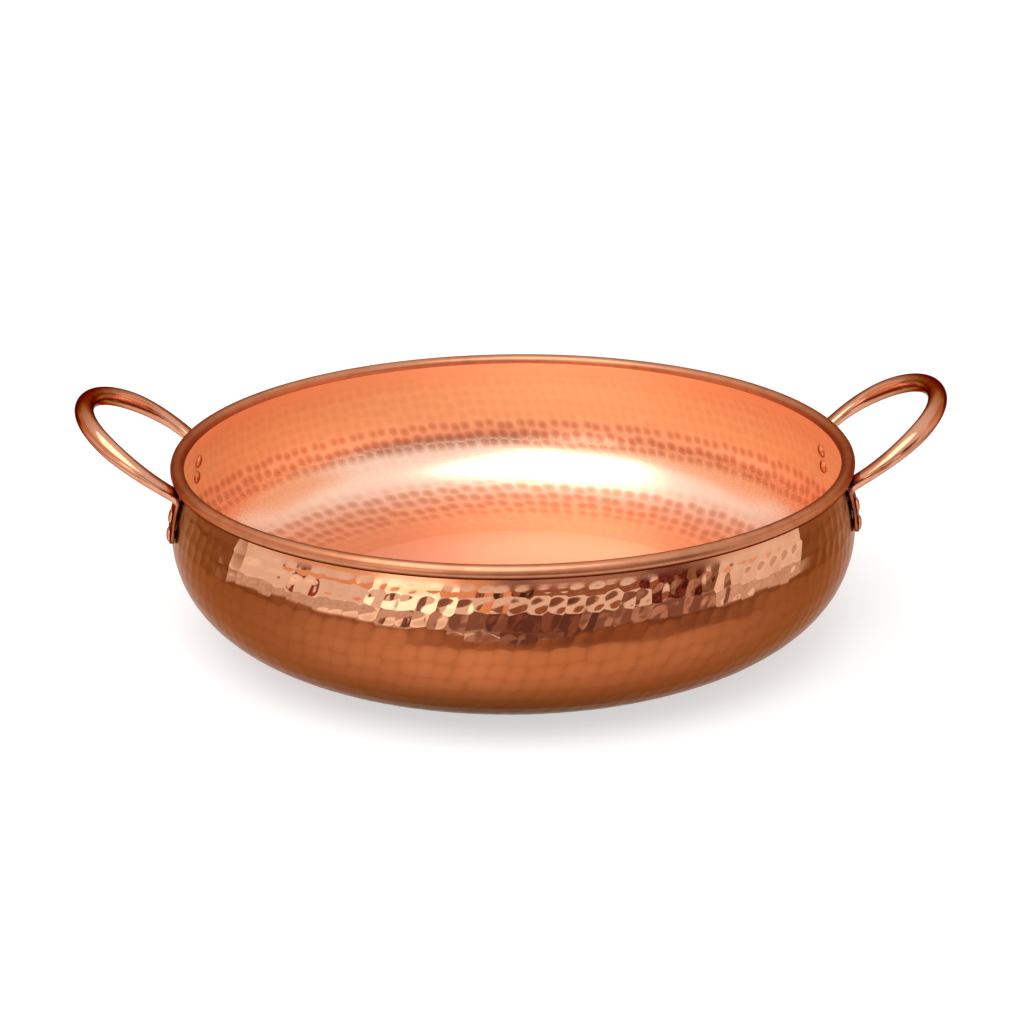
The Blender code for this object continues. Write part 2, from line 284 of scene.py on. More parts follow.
# Each card's first and last turn, its low and high edge, and the two colours it is mottled in
CARDS = {
    "back_card": (118, 242, (1.6, 0.0), (1.6, 0.4), "A0734F", "B08360"),
    "far_wall_card": (130, 230, (1.6, 0.4), (1.6, 1.1), "DCC6BA", "D0B6A8"),
    "left_wall_card": (-118, -8, (1.6, 0.3), (1.6, 1.2), "FFD0AC", "FBBB97"),
    "right_wall_card": (64, 118, (1.6, 0.3), (1.6, 0.62), "FFDEC0", "FFD6B2"),
    "curtain_card": (76, 120, (1.6, 0.62), (1.6, 1.4), "F8CAA8", "ECB894"),
    "shelf_card": (-8, 54, (1.6, 0.3), (1.6, 0.62), "B08068", "9C6E56"),
    "room_card": (-20, 50, (0.37, 0.0), (0.37, 0.085), "CCB0A4", "927164"),
    "table_card": (-25, 60, (0.31, 0.002), (0.36, 0.001), "A88474", "86665A"),
    "tripod_card": (-5, 16, (0.355, 0.0), (0.355, 0.08), "6A4C46", "94685A"),
    "rug_card": (-100, 100, (0.38, 0.002), (0.9, 0.001), "ECE0DB", "D8C7BF"),
    "camera_card": (-4, 3, (1.1, 0.3), (1.1, 0.5), "3A2A28", "5A4038"),
    "chair_card": (-70, -65, (1.3, 0.08), (1.3, 0.24), "A8503F", "84423A"),
    "stool_card": (-34, -30, (0.6, 0.02), (0.6, 0.09), "A87C6A", "7A5448"),
    "door_card": (-122, -113, (1.3, 0.0), (1.3, 0.3), "5A3A32", "7A4A3C"),
    "stand_card": (39, 52, (1.2, 0.0), (1.2, 0.45), "40221E", "8C4840"),
    "crate_card": (52, 62, (1.2, 0.0), (1.2, 0.40), "A4886C", "8C7058"),
}

# The numbers of a Mix node's sockets when it mixes colours: the second one's share, and the two colours
SHARE, FIRST, SECOND = 0, 6, 7


def linear(hex_colour):
    """An sRGB colour such as F7B590 as linear values with alpha."""
    channels = [int(hex_colour[i:i + 2], 16) / 255 for i in (0, 2, 4)]
    return [c / 12.92 if c <= 0.04045 else ((c + 0.055) / 1.055) ** 2.4 for c in channels] + [1.0]


def add(tree, kind, links=(), **settings):
    """Adds a node. Links go by socket name, number or order, and come from a value, a socket or a node."""
    node = tree.nodes.new(kind)
    for name, value in settings.items():
        setattr(node, name, value)
    for name, value in (links if isinstance(links, dict) else dict(enumerate(links))).items():
        if isinstance(value, bpy.types.Node):
            value = next(output for output in value.outputs if output.enabled)
        if isinstance(value, bpy.types.NodeSocket):
            tree.links.new(value, node.inputs[name])
        else:
            node.inputs[name].default_value = value
    return node


def new_piece(name, mesh):
    piece = bpy.data.objects.new(name, mesh)
    bpy.context.scene.collection.objects.link(piece)
    return piece


def baked(obj, name):
    """The evaluated object as a new object with a plain mesh; the first one is removed."""
    graph = bpy.context.evaluated_depsgraph_get()
    mesh = bpy.data.meshes.new_from_object(obj.evaluated_get(graph), depsgraph=graph)
    mesh.name = name
    bpy.data.objects.remove(obj)
    return new_piece(name, mesh)


def run_tree(tree, source, name, **values):
    """Runs a geometry tree on an object, with its named inputs set, and bakes the result."""
    modifier = source.modifiers.new("made by rule", "NODES")
    modifier.node_group = tree
    for socket in tree.interface.items_tree:
        key = socket.name.lower().replace(" ", "_")
        if socket.in_out == "INPUT" and key in values:
            modifier[socket.identifier] = values[key]
    return baked(source, name)


def finish_piece(piece, slot, *nodes):
    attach(piece, "root")
    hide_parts(*nodes)


def smoothstep(low, high, value):
    share = min(max((value - low) / (high - low), 0.0), 1.0)
    return share * share * (3 - 2 * share)


# The line that the sheet follows


def curl_line(steps):
    """Middle of the sheet round the rolled rim, from its free edge up the outside and over to the neck."""
    neck = math.pi + NECK_LEAN
    sweep = 2 * math.pi - math.acos((ROLL_RADIUS - SHEET - CLEARANCE) / ROLL_RADIUS)
    radius = ROLL_RADIUS - SHEET / 2
    angles = [neck - sweep * (1 - i / steps) for i in range(steps + 1)]
    return [ROLL_CENTRE + radius * Vector((math.cos(a), math.sin(a))) for a in angles]


def wall_line(steps):
    """Middle of the sheet from the neck down over the belly to the edge of the flat base."""
    neck = curl_line(1)[-1]
    belly = Vector((BELLY_RADIUS - SHEET / 2, BELLY_HEIGHT))
    base = Vector((BASE_RADIUS, SHEET / 2))
    down_neck = Vector((math.sin(NECK_LEAN), -math.cos(NECK_LEAN)))
    rise = neck.y - belly.y
    shoulder_ends = (neck + down_neck * rise * NECK_PULL, belly + Vector((0, rise * SHOULDER_PULL)))
    heel_ends = (
        belly - Vector((0, (belly.y - base.y) * BELLY_PULL)),
        base + Vector(((belly.x - base.x) * HEEL_PULL, 0)),
    )
    shoulder = interpolate_bezier(neck, *shoulder_ends, belly, steps + 1)
    heel = interpolate_bezier(belly, *heel_ends, base, 2 * steps + 1)
    return shoulder + heel[1:]


class Line:
    """A run of points that can be read at any distance along it."""

    def __init__(self, points):
        self.points = points
        self.lengths = [0.0]
        for start, end in zip(points, points[1:]):
            self.lengths.append(self.lengths[-1] + (end - start).length)

    def at(self, distance):
        """The point there, and the way to the left of the run, which is outwards on a wall run down."""
        last = len(self.points) - 2
        i = next((k for k in range(last) if self.lengths[k + 1] >= distance), last)
        step = self.points[i + 1] - self.points[i]
        ways = []
        for k in (max(i - 1, 0), i, min(i + 1, last)):
            way = (self.points[k + 1] - self.points[k]).normalized()
            ways.append(Vector((-way.y, way.x)))
        share = (distance - self.lengths[i]) / max(step.length, TINY)
        low, high = (ways[0] + ways[1]).normalized(), (ways[1] + ways[2]).normalized()
        return self.points[i] + step * share, low.lerp(high, min(max(share, 0), 1)).normalized()

    @property
    def length(self):
        return self.lengths[-1]


CURL = Line(curl_line(CURL_STEPS))
WALL = Line(wall_line(WALL_STEPS))
SHEET_LINE = Line(CURL.points + WALL.points[1:] + [Vector((0.0, SHEET / 2))])


def spread(start, end, step):
    """Even stops from start up to, but not at, end."""
    count = max(1, round((end - start) / step))
    return [start + (end - start) * i / count for i in range(count)]


def sheet_outline():
    """The closed section of the sheet: its rings' radius, height, row, count, strength, inside and rolled.

    It runs out along the underside, up the outer wall, round inside the roll to the free edge, back over
    the roll and down the inner wall. The rows of hammer marks are counted down from the neck on both sides.
    """
    neck = CURL.length
    edge = neck + WALL.length
    centre = SHEET_LINE.length
    outside = (
        spread(0, neck, HIDDEN_RING)
        + spread(neck, neck + LAST_ROW_OUTSIDE, OUTSIDE_RING)
        + spread(neck + LAST_ROW_OUTSIDE, edge, HEEL_RING)
        + spread(edge, centre, BASE_RING)
        + [centre]
    )
    inside = (
        spread(0, neck, ROLL_RING)
        + spread(neck, neck + LAST_ROW_INSIDE, INSIDE_RING)
        + spread(neck + LAST_ROW_INSIDE, centre, BASE_RING)
        + [centre]
    )
    return [sheet_ring(stop, 1) for stop in reversed(outside)] + [sheet_ring(stop, -1) for stop in inside]


def sheet_ring(stop, side):
    """One ring of the sheet's section, on its outer side (1) or its inner side (-1)."""
    middle, outward = SHEET_LINE.at(stop)
    place = middle + outward * side * SHEET / 2
    down = stop - CURL.length
    if side > 0:
        row, count, strength = (down - FIRST_ROW) / ROW_OUTSIDE, MARKS_OUTSIDE, outer_strength(down)
    else:
        row, strength = (down - FIRST_ROW) / ROW_INSIDE, inner_strength(down)
        count = MARKS_UPPER if down < COUNT_CHANGE else MARKS_LOWER
    strength *= smoothstep(*ROWS_BEGIN, row)
    return max(place.x, 0.0), place.y, row, count, strength, float(side < 0), float(down < NEAR)


def outer_strength(down):
    """The blows show most on the shoulder, and fade out at the heel."""
    belly = 1 - BELLY_LESS * smoothstep(*SHOULDER_END, down)
    heel = 1 - smoothstep(LAST_ROW_OUTSIDE - HEEL_RUN, LAST_ROW_OUTSIDE, down)
    return OUTER_STRENGTH * belly * heel


def inner_strength(down):
    """The dents are scoured off most of the upper wall, the middle of the bend and the floor.

    The count of dents in a row changes in the middle of the bend, where there are none.
    """
    below_wall = UPPER_WALL_SHARE + (1 - UPPER_WALL_SHARE) * smoothstep(*UPPER_WALL_END, down)
    off_bend = 1 - BEND_LESS * (smoothstep(*BEND_START, down) - smoothstep(*BEND_END, down))
    off_change = smoothstep(*CHANGE_GAP, abs(down - COUNT_CHANGE))
    off_floor = 1 - FLOOR_LESS * smoothstep(*FLOOR_START, down)
    off_disc = 1 - smoothstep(LAST_ROW_INSIDE - DISC_RUN, LAST_ROW_INSIDE, down)
    return INNER_STRENGTH * below_wall * off_bend * off_change * off_floor * off_disc


def outline_object(rings, **columns):
    """The outline as loose points in order, each with its named values, ready to be turned."""
    mesh = bpy.data.meshes.new("outline")
    mesh.from_pydata([(ring[0], 0, ring[1]) for ring in rings], [], [])
    for name, column in columns.items():
        values = mesh.attributes.new(name, "FLOAT", "POINT")
        values.data.foreach_set("value", [ring[column] for ring in rings])
    return new_piece("outline", mesh)


# Geometry trees


def new_tree(name, inputs, outputs):
    """An empty geometry tree with its named sockets, and the sockets that its inputs arrive at."""
    tree = bpy.data.node_groups.new(name, "GeometryNodeTree")
    for way, sockets in (("INPUT", inputs), ("OUTPUT", outputs)):
        for label, kind in sockets.items():
            tree.interface.new_socket(name=label, in_out=way, socket_type=f"NodeSocket{kind}")
    return tree, add(tree, "NodeGroupInput").outputs


def turning_tree():
    """Turns an outline of points round Z into a grid of faces, whose seam and poles are merged later."""
    tree, given = new_tree("turned outline", {"Outline": "Geometry", "Steps": "Int"},
                           {"Geometry": "Geometry", "Turn": "Float", "Place": "Int"})
    count = add(tree, "GeometryNodeAttributeDomainSize", [given["Outline"]]).outputs["Point Count"]
    columns = add(tree, "ShaderNodeMath", [given["Steps"], 1.0], operation="ADD")
    grid = add(tree, "GeometryNodeMeshGrid", {"Vertices X": columns, "Vertices Y": count})
    index = add(tree, "GeometryNodeInputIndex")
    column = add(tree, "FunctionNodeIntegerMath", [index, count], operation="DIVIDE_FLOOR")
    place = add(tree, "FunctionNodeIntegerMath", [index, count], operation="FLOORED_MODULO")
    turn = add(tree, "ShaderNodeMath", [column, given["Steps"]], operation="DIVIDE")
    angle = add(tree, "ShaderNodeMath", [turn, math.tau], operation="MULTIPLY")
    here = add(tree, "GeometryNodeInputPosition")
    flat = add(tree, "GeometryNodeSampleIndex", {
        "Geometry": given["Outline"], "Value": here, "Index": place}, data_type="FLOAT_VECTOR")
    turned = add(tree, "ShaderNodeVectorRotate", {"Vector": flat, "Angle": angle}, rotation_type="Z_AXIS")
    shaped = add(tree, "GeometryNodeSetPosition", {"Geometry": grid, "Position": turned})
    add(tree, "NodeGroupOutput", {"Geometry": shaped, "Turn": turn, "Place": place})
    return tree


def mark_dish(tree, spot, inside, jitter):
    """How deep a hammer mark is at a spot, from 0 to 1, and the middle of that mark.

    Outside, the marks overlap and meet in low ridges. Inside, they are small round dents with flat land
    between them.
    """
    cells = add(tree, "ShaderNodeTexVoronoi", {"Vector": spot, "Scale": 1.0, "Randomness": jitter},
                voronoi_dimensions="2D", feature="F1").outputs
    reach = add(tree, "ShaderNodeMath", [inside, DENT_REACH - MARK_REACH, MARK_REACH],
                operation="MULTIPLY_ADD")
    fullness = add(tree, "ShaderNodeMath", [inside, DENT_FULLNESS - MARK_FULLNESS, MARK_FULLNESS],
                   operation="MULTIPLY_ADD")
    share = add(tree, "ShaderNodeMath", [cells["Distance"], reach], operation="DIVIDE")
    square = add(tree, "ShaderNodeMath", [share, share], operation="MULTIPLY")
    bowl = add(tree, "ShaderNodeMath", [1.0, square], operation="SUBTRACT", use_clamp=True)
    return add(tree, "ShaderNodeMath", [bowl, fullness], operation="POWER"), cells["Position"]


def hammered_tree(turning):
    """The sheet body: its outline turned, then struck with rows of round marks, each one a little astray.

    The outline's points carry the row, the count of marks round the pan, the strength of the blows, and
    whether they are on the inner side and on the rolled rim. The seed reads the marks so many whole turns
    further on.
    """
    tree, given = new_tree("hammered sheet", {
        "Outline": "Geometry", "Steps": "Int", "Mark Depth": "Float", "Mark Jitter": "Float",
        "Mark Drift": "Float", "Wave Height": "Float", "Wave Length": "Float", "Seed": "Int",
        "Outer Finish": "Material", "Inner Finish": "Material", "Rim Finish": "Material"},
        {"Geometry": "Geometry"})
    turned = add(tree, "GeometryNodeGroup", {"Outline": given["Outline"], "Steps": given["Steps"]},
                 node_tree=turning).outputs
    names = ("turn", "row", "count", "strength", "inside", "rolled")
    read = {name: add(tree, "GeometryNodeInputNamedAttribute", {"Name": name}) for name in names}
    shape = add(tree, "GeometryNodeStoreNamedAttribute", {
        "Geometry": turned["Geometry"], "Name": "turn", "Value": turned["Turn"]})
    for name in names[1:]:
        carried = add(tree, "GeometryNodeSampleIndex", {
            "Geometry": given["Outline"], "Value": read[name], "Index": turned["Place"]})
        shape = add(tree, "GeometryNodeStoreNamedAttribute", {
            "Geometry": shape, "Name": name, "Value": carried})

    # The marks fade out where the turn starts and ends, because the rows don't meet there
    from_seam = add(tree, "ShaderNodeMath", [read["turn"], 0.5], operation="PINGPONG")
    marks_off = add(tree, "ShaderNodeMath", [from_seam, read["count"]], operation="MULTIPLY")
    faded = add(tree, "ShaderNodeMapRange", [marks_off], interpolation_type="SMOOTHSTEP")
    strength = add(tree, "ShaderNodeMath", [read["strength"], faded], operation="MULTIPLY")
    shape = add(tree, "GeometryNodeStoreNamedAttribute", {
        "Geometry": shape, "Name": "strength", "Value": strength})

    # Where each point lies among the marks, one unit to a mark, which the metals read as a UV map
    turns = add(tree, "ShaderNodeMath", [read["turn"], given["Seed"]], operation="ADD")
    drift = add(tree, "ShaderNodeMath", [read["row"], given["Mark Drift"]], operation="MULTIPLY")
    across = add(tree, "ShaderNodeMath", [turns, read["count"], drift], operation="MULTIPLY_ADD")
    spot = add(tree, "ShaderNodeCombineXYZ", [across, read["row"]])
    shape = add(tree, "GeometryNodeStoreNamedAttribute", {
        "Geometry": shape, "Name": "marks", "Value": spot}, data_type="FLOAT2", domain="CORNER")
    shape = add(tree, "GeometryNodeMergeByDistance", {"Geometry": shape, "Distance": MERGE_DISTANCE})

    # The marks, and long waves in the sheet above its flat base, push both sides inwards and outwards
    dish, _ = mark_dish(tree, spot, read["inside"], given["Mark Jitter"])
    struck = add(tree, "ShaderNodeMath", [dish, read["strength"]], operation="MULTIPLY")
    dent = add(tree, "ShaderNodeMath", [struck, given["Mark Depth"]], operation="MULTIPLY")
    here = add(tree, "GeometryNodeInputPosition")
    in_waves = add(tree, "ShaderNodeMath", [1.0, given["Wave Length"]], operation="DIVIDE")
    noise = add(tree, "ShaderNodeTexNoise", {
        "Vector": here, "W": given["Seed"], "Scale": in_waves, "Detail": 2.0}, noise_dimensions="4D")
    even = add(tree, "ShaderNodeMath", [noise, NOISE_MIDDLE], operation="SUBTRACT")
    height = add(tree, "ShaderNodeSeparateXYZ", [here]).outputs["Z"]
    off_base = add(tree, "ShaderNodeMapRange", [height, *WAVE_START], interpolation_type="SMOOTHSTEP")
    wave = add(tree, "ShaderNodeMath", [even, off_base], operation="MULTIPLY")
    pushed = add(tree, "ShaderNodeMath", [wave, given["Wave Height"], dent], operation="MULTIPLY_ADD")
    inward = add(tree, "ShaderNodeMath", [read["inside"], 2.0, -1.0], operation="MULTIPLY_ADD")
    push = add(tree, "ShaderNodeMath", [pushed, inward], operation="MULTIPLY")
    facing = add(tree, "GeometryNodeInputNormal")
    offset = add(tree, "ShaderNodeVectorMath", {"Vector": facing, "Scale": push}, operation="SCALE")
    shape = add(tree, "GeometryNodeSetPosition", {"Geometry": shape, "Offset": offset})
    within = add(tree, "ShaderNodeMath", [read["inside"], 0.5], operation="GREATER_THAN")
    rolled = add(tree, "ShaderNodeMath", [read["rolled"], 0.5], operation="GREATER_THAN")
    end_tree(tree, shape, given["Outer Finish"],
             (within, given["Inner Finish"]), (rolled, given["Rim Finish"]))
    return tree


def end_tree(tree, shape, metal, *other_metals):
    """Smooth shading, real geometry and the metal, then other metals, each where its selection says so."""
    shape = add(tree, "GeometryNodeSetShadeSmooth", [shape])
    shape = add(tree, "GeometryNodeRealizeInstances", [shape])
    for selection, finish in ((True, metal), *other_metals):
        shape = add(tree, "GeometryNodeSetMaterial", {
            "Geometry": shape, "Selection": selection, "Material": finish})
    add(tree, "NodeGroupOutput", [shape])


def rivet_tree(turning):
    """One rivet turned from its outline and set on each point, along the point's own direction."""
    tree, given = new_tree("set rivets", {
        "Places": "Geometry", "Outline": "Object", "Steps": "Int", "Unevenness": "Float", "Seed": "Int",
        "Metal": "Material"}, {"Geometry": "Geometry"})
    outline = add(tree, "GeometryNodeObjectInfo", {"Object": given["Outline"]}).outputs["Geometry"]
    turned = add(tree, "GeometryNodeGroup", {"Outline": outline, "Steps": given["Steps"]}, node_tree=turning)
    rivet = add(tree, "GeometryNodeMergeByDistance", {"Geometry": turned, "Distance": MERGE_DISTANCE})
    facing = add(tree, "GeometryNodeInputNamedAttribute", {"Name": "facing"}, data_type="FLOAT_VECTOR")
    aim = add(tree, "FunctionNodeAlignRotationToVector", {"Vector": facing}, axis="Z")
    placed = add(tree, "GeometryNodeInstanceOnPoints", {
        "Points": given["Places"], "Instance": rivet, "Rotation": aim})
    solid = add(tree, "GeometryNodeRealizeInstances", [placed])
    here = add(tree, "GeometryNodeInputPosition")
    noise = add(tree, "ShaderNodeTexNoise", {
        "Vector": here, "W": given["Seed"], "Scale": 1 / RIVET_BLOT, "Detail": 1.0}, noise_dimensions="4D")
    even = add(tree, "ShaderNodeMath", [noise, NOISE_MIDDLE], operation="SUBTRACT")
    push = add(tree, "ShaderNodeMath", [even, given["Unevenness"]], operation="MULTIPLY")
    facing_out = add(tree, "GeometryNodeInputNormal")
    offset = add(tree, "ShaderNodeVectorMath", {"Vector": facing_out, "Scale": push}, operation="SCALE")
    shape = add(tree, "GeometryNodeSetPosition", {"Geometry": solid, "Offset": offset})
    end_tree(tree, shape, given["Metal"])
    return tree


# The handles


def foot_angle():
    seat, _ = WALL.at(PALM_DROP)
    return math.asin(FOOT_SPREAD / 2 / seat.x)


def in_foot_plane(flat, angle):
    """A (radius, height) point or direction, stood in the upright plane at the angle."""
    return Vector((flat.x * math.cos(angle), flat.x * math.sin(angle), flat.y))


def palm_line():
    """Middle of the palm from its round tip up to the elbow, with each point's distance from the tip."""
    tip_radius = PALM_WIDTH / 2
    turns = [math.pi / 2 * (i + TIP_START) / TIP_STEPS for i in range(TIP_STEPS)]
    tip = [tip_radius * (1 - math.cos(turn)) for turn in turns]
    plain = [tip_radius + (PALM_LENGTH - tip_radius) * i / PALM_STEPS for i in range(PALM_STEPS + 1)]
    lift = SHEET / 2 + CLEARANCE + PALM_THICKNESS / 2
    points = []
    for along in tip + plain:
        seat, outward = WALL.at(PALM_DROP + PALM_LENGTH - along)
        points.append((seat + outward * lift, outward, along))
    return points


def leg_start():
    """Where the leg passes under the rim, the top of the loop, and the tilt between them, seen along Y."""
    bead = Vector((math.sqrt(BEAD_CENTRE.x ** 2 - (LEG_SPREAD / 2) ** 2), BEAD_CENTRE.y))
    apex = Vector((LOOP_HIGH.x - ROD_RADIUS, LOOP_HIGH.z - ROD_RADIUS))
    keep_off = BEAD_RADIUS + RIM_GAP + ELBOW_THICKNESS / 2
    to_apex = apex - bead
    tilt = math.atan2(to_apex.y, to_apex.x) + math.asin(keep_off / to_apex.length)
    along = Vector((math.cos(tilt), math.sin(tilt)))
    start = bead + keep_off * Vector((along.y, -along.x)) + along * ELBOW_REACH
    return Vector((start.x, LEG_SPREAD / 2, start.y)), Vector((apex.x, 0, apex.y)), tilt


def eased_curve(start, way, end, end_way, pulls, steps):
    """Points of a smooth curve after its start, leaving and arriving along the given ways."""
    reach = (end - start).length
    first = start + way.normalized() * reach * pulls[0]
    second = end - end_way.normalized() * reach * pulls[1]
    return interpolate_bezier(start, first, second, end, steps + 1)[1:]


def rounded(value, squareness):
    return math.copysign(abs(value) ** squareness, value)


def blend(low, high, share):
    share = smoothstep(0, 1, share)
    return [a + (b - a) * share for a, b in zip(low, high)]


def handle_sections():
    """Middle of each section of half a handle with its half width, half thickness and squareness."""
    angle = foot_angle()
    palm = palm_line()
    places = [in_foot_plane(point, angle) for point, _, _ in palm]
    start, apex, tilt = leg_start()
    out = Vector((math.cos(tilt + LEG_RISE), 0, math.sin(tilt + LEG_RISE)))
    leg = out * math.cos(LEG_SPLAY) + Vector((0, math.sin(LEG_SPLAY), 0))
    elbow = eased_curve(
        places[-1], places[-1] - places[-2], start, leg, (ELBOW_PULL, ELBOW_PULL), ELBOW_STEPS)
    loop = eased_curve(start, leg, apex, Vector((0, -1, 0)), (LEG_PULL, BOW_PULL), LOOP_STEPS)
    flat = (PALM_WIDTH / 2, PALM_THICKNESS / 2, PALM_SQUARENESS)
    bent = (ELBOW_WIDTH / 2, ELBOW_THICKNESS / 2, ELBOW_SQUARENESS)
    round_rod = (ROD_RADIUS, ROD_RADIUS, 1.0)
    sections = []
    for centre, (_, _, along) in zip(places, palm):
        from_tip = min(along / flat[0], 1.0)
        sections.append((centre, (flat[0] * math.sqrt(1 - (1 - from_tip) ** 2), *flat[1:])))
    for i, centre in enumerate(elbow):
        sections.append((centre, blend(flat, bent, (i + 1) / len(elbow))))
    along, before = 0.0, elbow[-1]
    for centre in loop:
        along += (centre - before).length
        sections.append((centre, blend(bent, round_rod, along / FORGED_LENGTH)))
        before = centre
    return sections


def handle_mesh():
    """Half a handle, lofted from the flat palm into the round rod and open at the middle plane."""
    sections = handle_sections()
    centres = [centre for centre, _ in sections]
    ways = [(centres[1] - centres[0]).normalized()]
    ways += [(after - before).normalized() for before, after in zip(centres, centres[2:])]
    ways.append(Vector((0, -1, 0)))
    outward = in_foot_plane(palm_line()[0][1], foot_angle())
    bm = bmesh.new()
    rings = []
    for (centre, (width, thickness, squareness)), way in zip(sections, ways):
        outward = (outward - way * outward.dot(way)).normalized()
        across = outward.cross(way)
        ring = []
        for k in range(ROD_SIDES):
            turn = math.tau * (k + 0.5) / ROD_SIDES
            sideways = across * width * rounded(math.cos(turn), squareness)
            upwards = outward * thickness * rounded(math.sin(turn), squareness)
            ring.append(bm.verts.new(centre + sideways + upwards))
        rings.append(ring)
    bm.faces.new(rings[0][::-1])
    for low, high in zip(rings, rings[1:]):
        for k in range(ROD_SIDES):
            after = (k + 1) % ROD_SIDES
            bm.faces.new((low[k], low[after], high[after], high[k]))
    mesh = bpy.data.meshes.new("half handle")
    bm.to_mesh(mesh)
    bm.free()
    mesh.shade_smooth()
    return mesh


def make_handles(metal):
    for side, turn in (("right", 0.0), ("left", math.pi)):
        mesh = handle_mesh()
        mesh.transform(Matrix.Rotation(turn, 4, "Z"))
        half = new_piece("half handle", mesh)
        mirror = half.modifiers.new("other leg", "MIRROR")
        mirror.use_axis = (False, True, False)
        mirror.merge_threshold = NEAR
        handle = baked(half, f"loop_handle_{side}")
        handle.data.materials.append(metal)
        finish_piece(handle, "forged_copper", f"handle_{side}")


# The rivets


def rivet_outline():
    """Half section of a rivet, outer head up: (radius, height over the sheet's middle), from the foot."""
    grip_out = SHEET / 2 + 2 * CLEARANCE + PALM_THICKNESS
    grip_in = -(SHEET / 2 + CLEARANCE)
    rings = [(0.0, grip_out + OUTER_HEAD[1])]
    for i in range(1, DOME_STEPS + 1):
        turn = math.pi / 2 * (1 - i / DOME_STEPS)
        rings.append((OUTER_HEAD[0] * math.cos(turn), grip_out + OUTER_HEAD[1] * math.sin(turn)))
    rings += [(RIVET_RADIUS, grip_out), (RIVET_RADIUS, grip_in)]
    for i in range(DOME_STEPS):
        turn = math.pi / 2 * i / DOME_STEPS
        rings.append((INNER_HEAD[0] * math.cos(turn), grip_in - INNER_HEAD[1] * math.sin(turn)))
    rings.append((0.0, grip_in - INNER_HEAD[1]))
    return rings[::-1]


def rivet_places():
    """Where each rivet sits on the middle of the sheet, and which way its outer head faces."""
    places = []
    for side_turn in (0.0, math.pi):
        for foot in (-foot_angle(), foot_angle()):
            for from_tip in (RIVET_FROM_TIP, RIVET_FROM_TIP + RIVET_PITCH):
                seat, outward = WALL.at(PALM_DROP + PALM_LENGTH - from_tip)
                places.append([in_foot_plane(flat, side_turn + foot) for flat in (seat, outward)])
    return places


def make_rivets(turning, metal):
    places = rivet_places()
    mesh = bpy.data.meshes.new("rivet places")
    mesh.from_pydata([place for place, _ in places], [], [])
    facing = mesh.attributes.new("facing", "FLOAT_VECTOR", "POINT")
    facing.data.foreach_set("vector", [value for _, way in places for value in way])
    outline = outline_object(rivet_outline())
    rivets = run_tree(rivet_tree(turning), new_piece("rivet places", mesh), "rivets", outline=outline,
                      steps=RIVET_STEPS, unevenness=RIVET_UNEVENNESS, seed=RIVET_SEED, metal=metal)
    bpy.data.objects.remove(outline)
    nodes = sorted(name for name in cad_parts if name.startswith("rivet_"))
    finish_piece(rivets, "rivet_copper", *nodes)


def make_pan_body(turning, outer_finish, inner_finish, rim_finish):
    outline = outline_object(sheet_outline(), row=2, count=3, strength=4, inside=5, rolled=6)
    body = run_tree(hammered_tree(turning), outline, "hammered_body", steps=TURN_STEPS, seed=MARK_SEED,
                    mark_depth=MARK_DEPTH, mark_jitter=MARK_JITTER, mark_drift=MARK_DRIFT,
                    wave_height=WAVE_HEIGHT, wave_length=WAVE_LENGTH,
                    outer_finish=outer_finish, inner_finish=inner_finish, rim_finish=rim_finish)
    finish_piece(body, "hammered_copper", "pot_body")


# Metals


def new_material(name):
    """An empty material and its tree."""
    material = bpy.data.materials.new(name)
    material.use_nodes = True
    material.node_tree.nodes.clear()
    return material, material.node_tree


def dress_metal(tree, here, colour, tint, rough, relief):
    """The metal's shader: a polisher's fine scratches vary its roughness a little and stand on its relief."""
    grain = add(tree, "ShaderNodeTexNoise", {"Vector": here, "Scale": 1 / GRAIN_SIZE, "Detail": 2.0})
    uneven = add(tree, "ShaderNodeMath", [grain, NOISE_MIDDLE], operation="SUBTRACT")
    roughness = add(tree, "ShaderNodeMath", [uneven, GRAIN_ROUGHNESS, rough], operation="MULTIPLY_ADD")
    height = add(tree, "ShaderNodeMath", [grain, GRAIN_HEIGHT, relief], operation="MULTIPLY_ADD")
    bump = add(tree, "ShaderNodeBump", {"Strength": 1.0, "Distance": 1.0, "Height": height})
    shader = add(tree, "ShaderNodeBsdfPrincipled", {
        "Metallic": 1.0, "Base Color": colour, "Specular Tint": linear(tint), "Roughness": roughness,
        "Normal": bump})
    add(tree, "ShaderNodeOutputMaterial", {"Surface": shader})


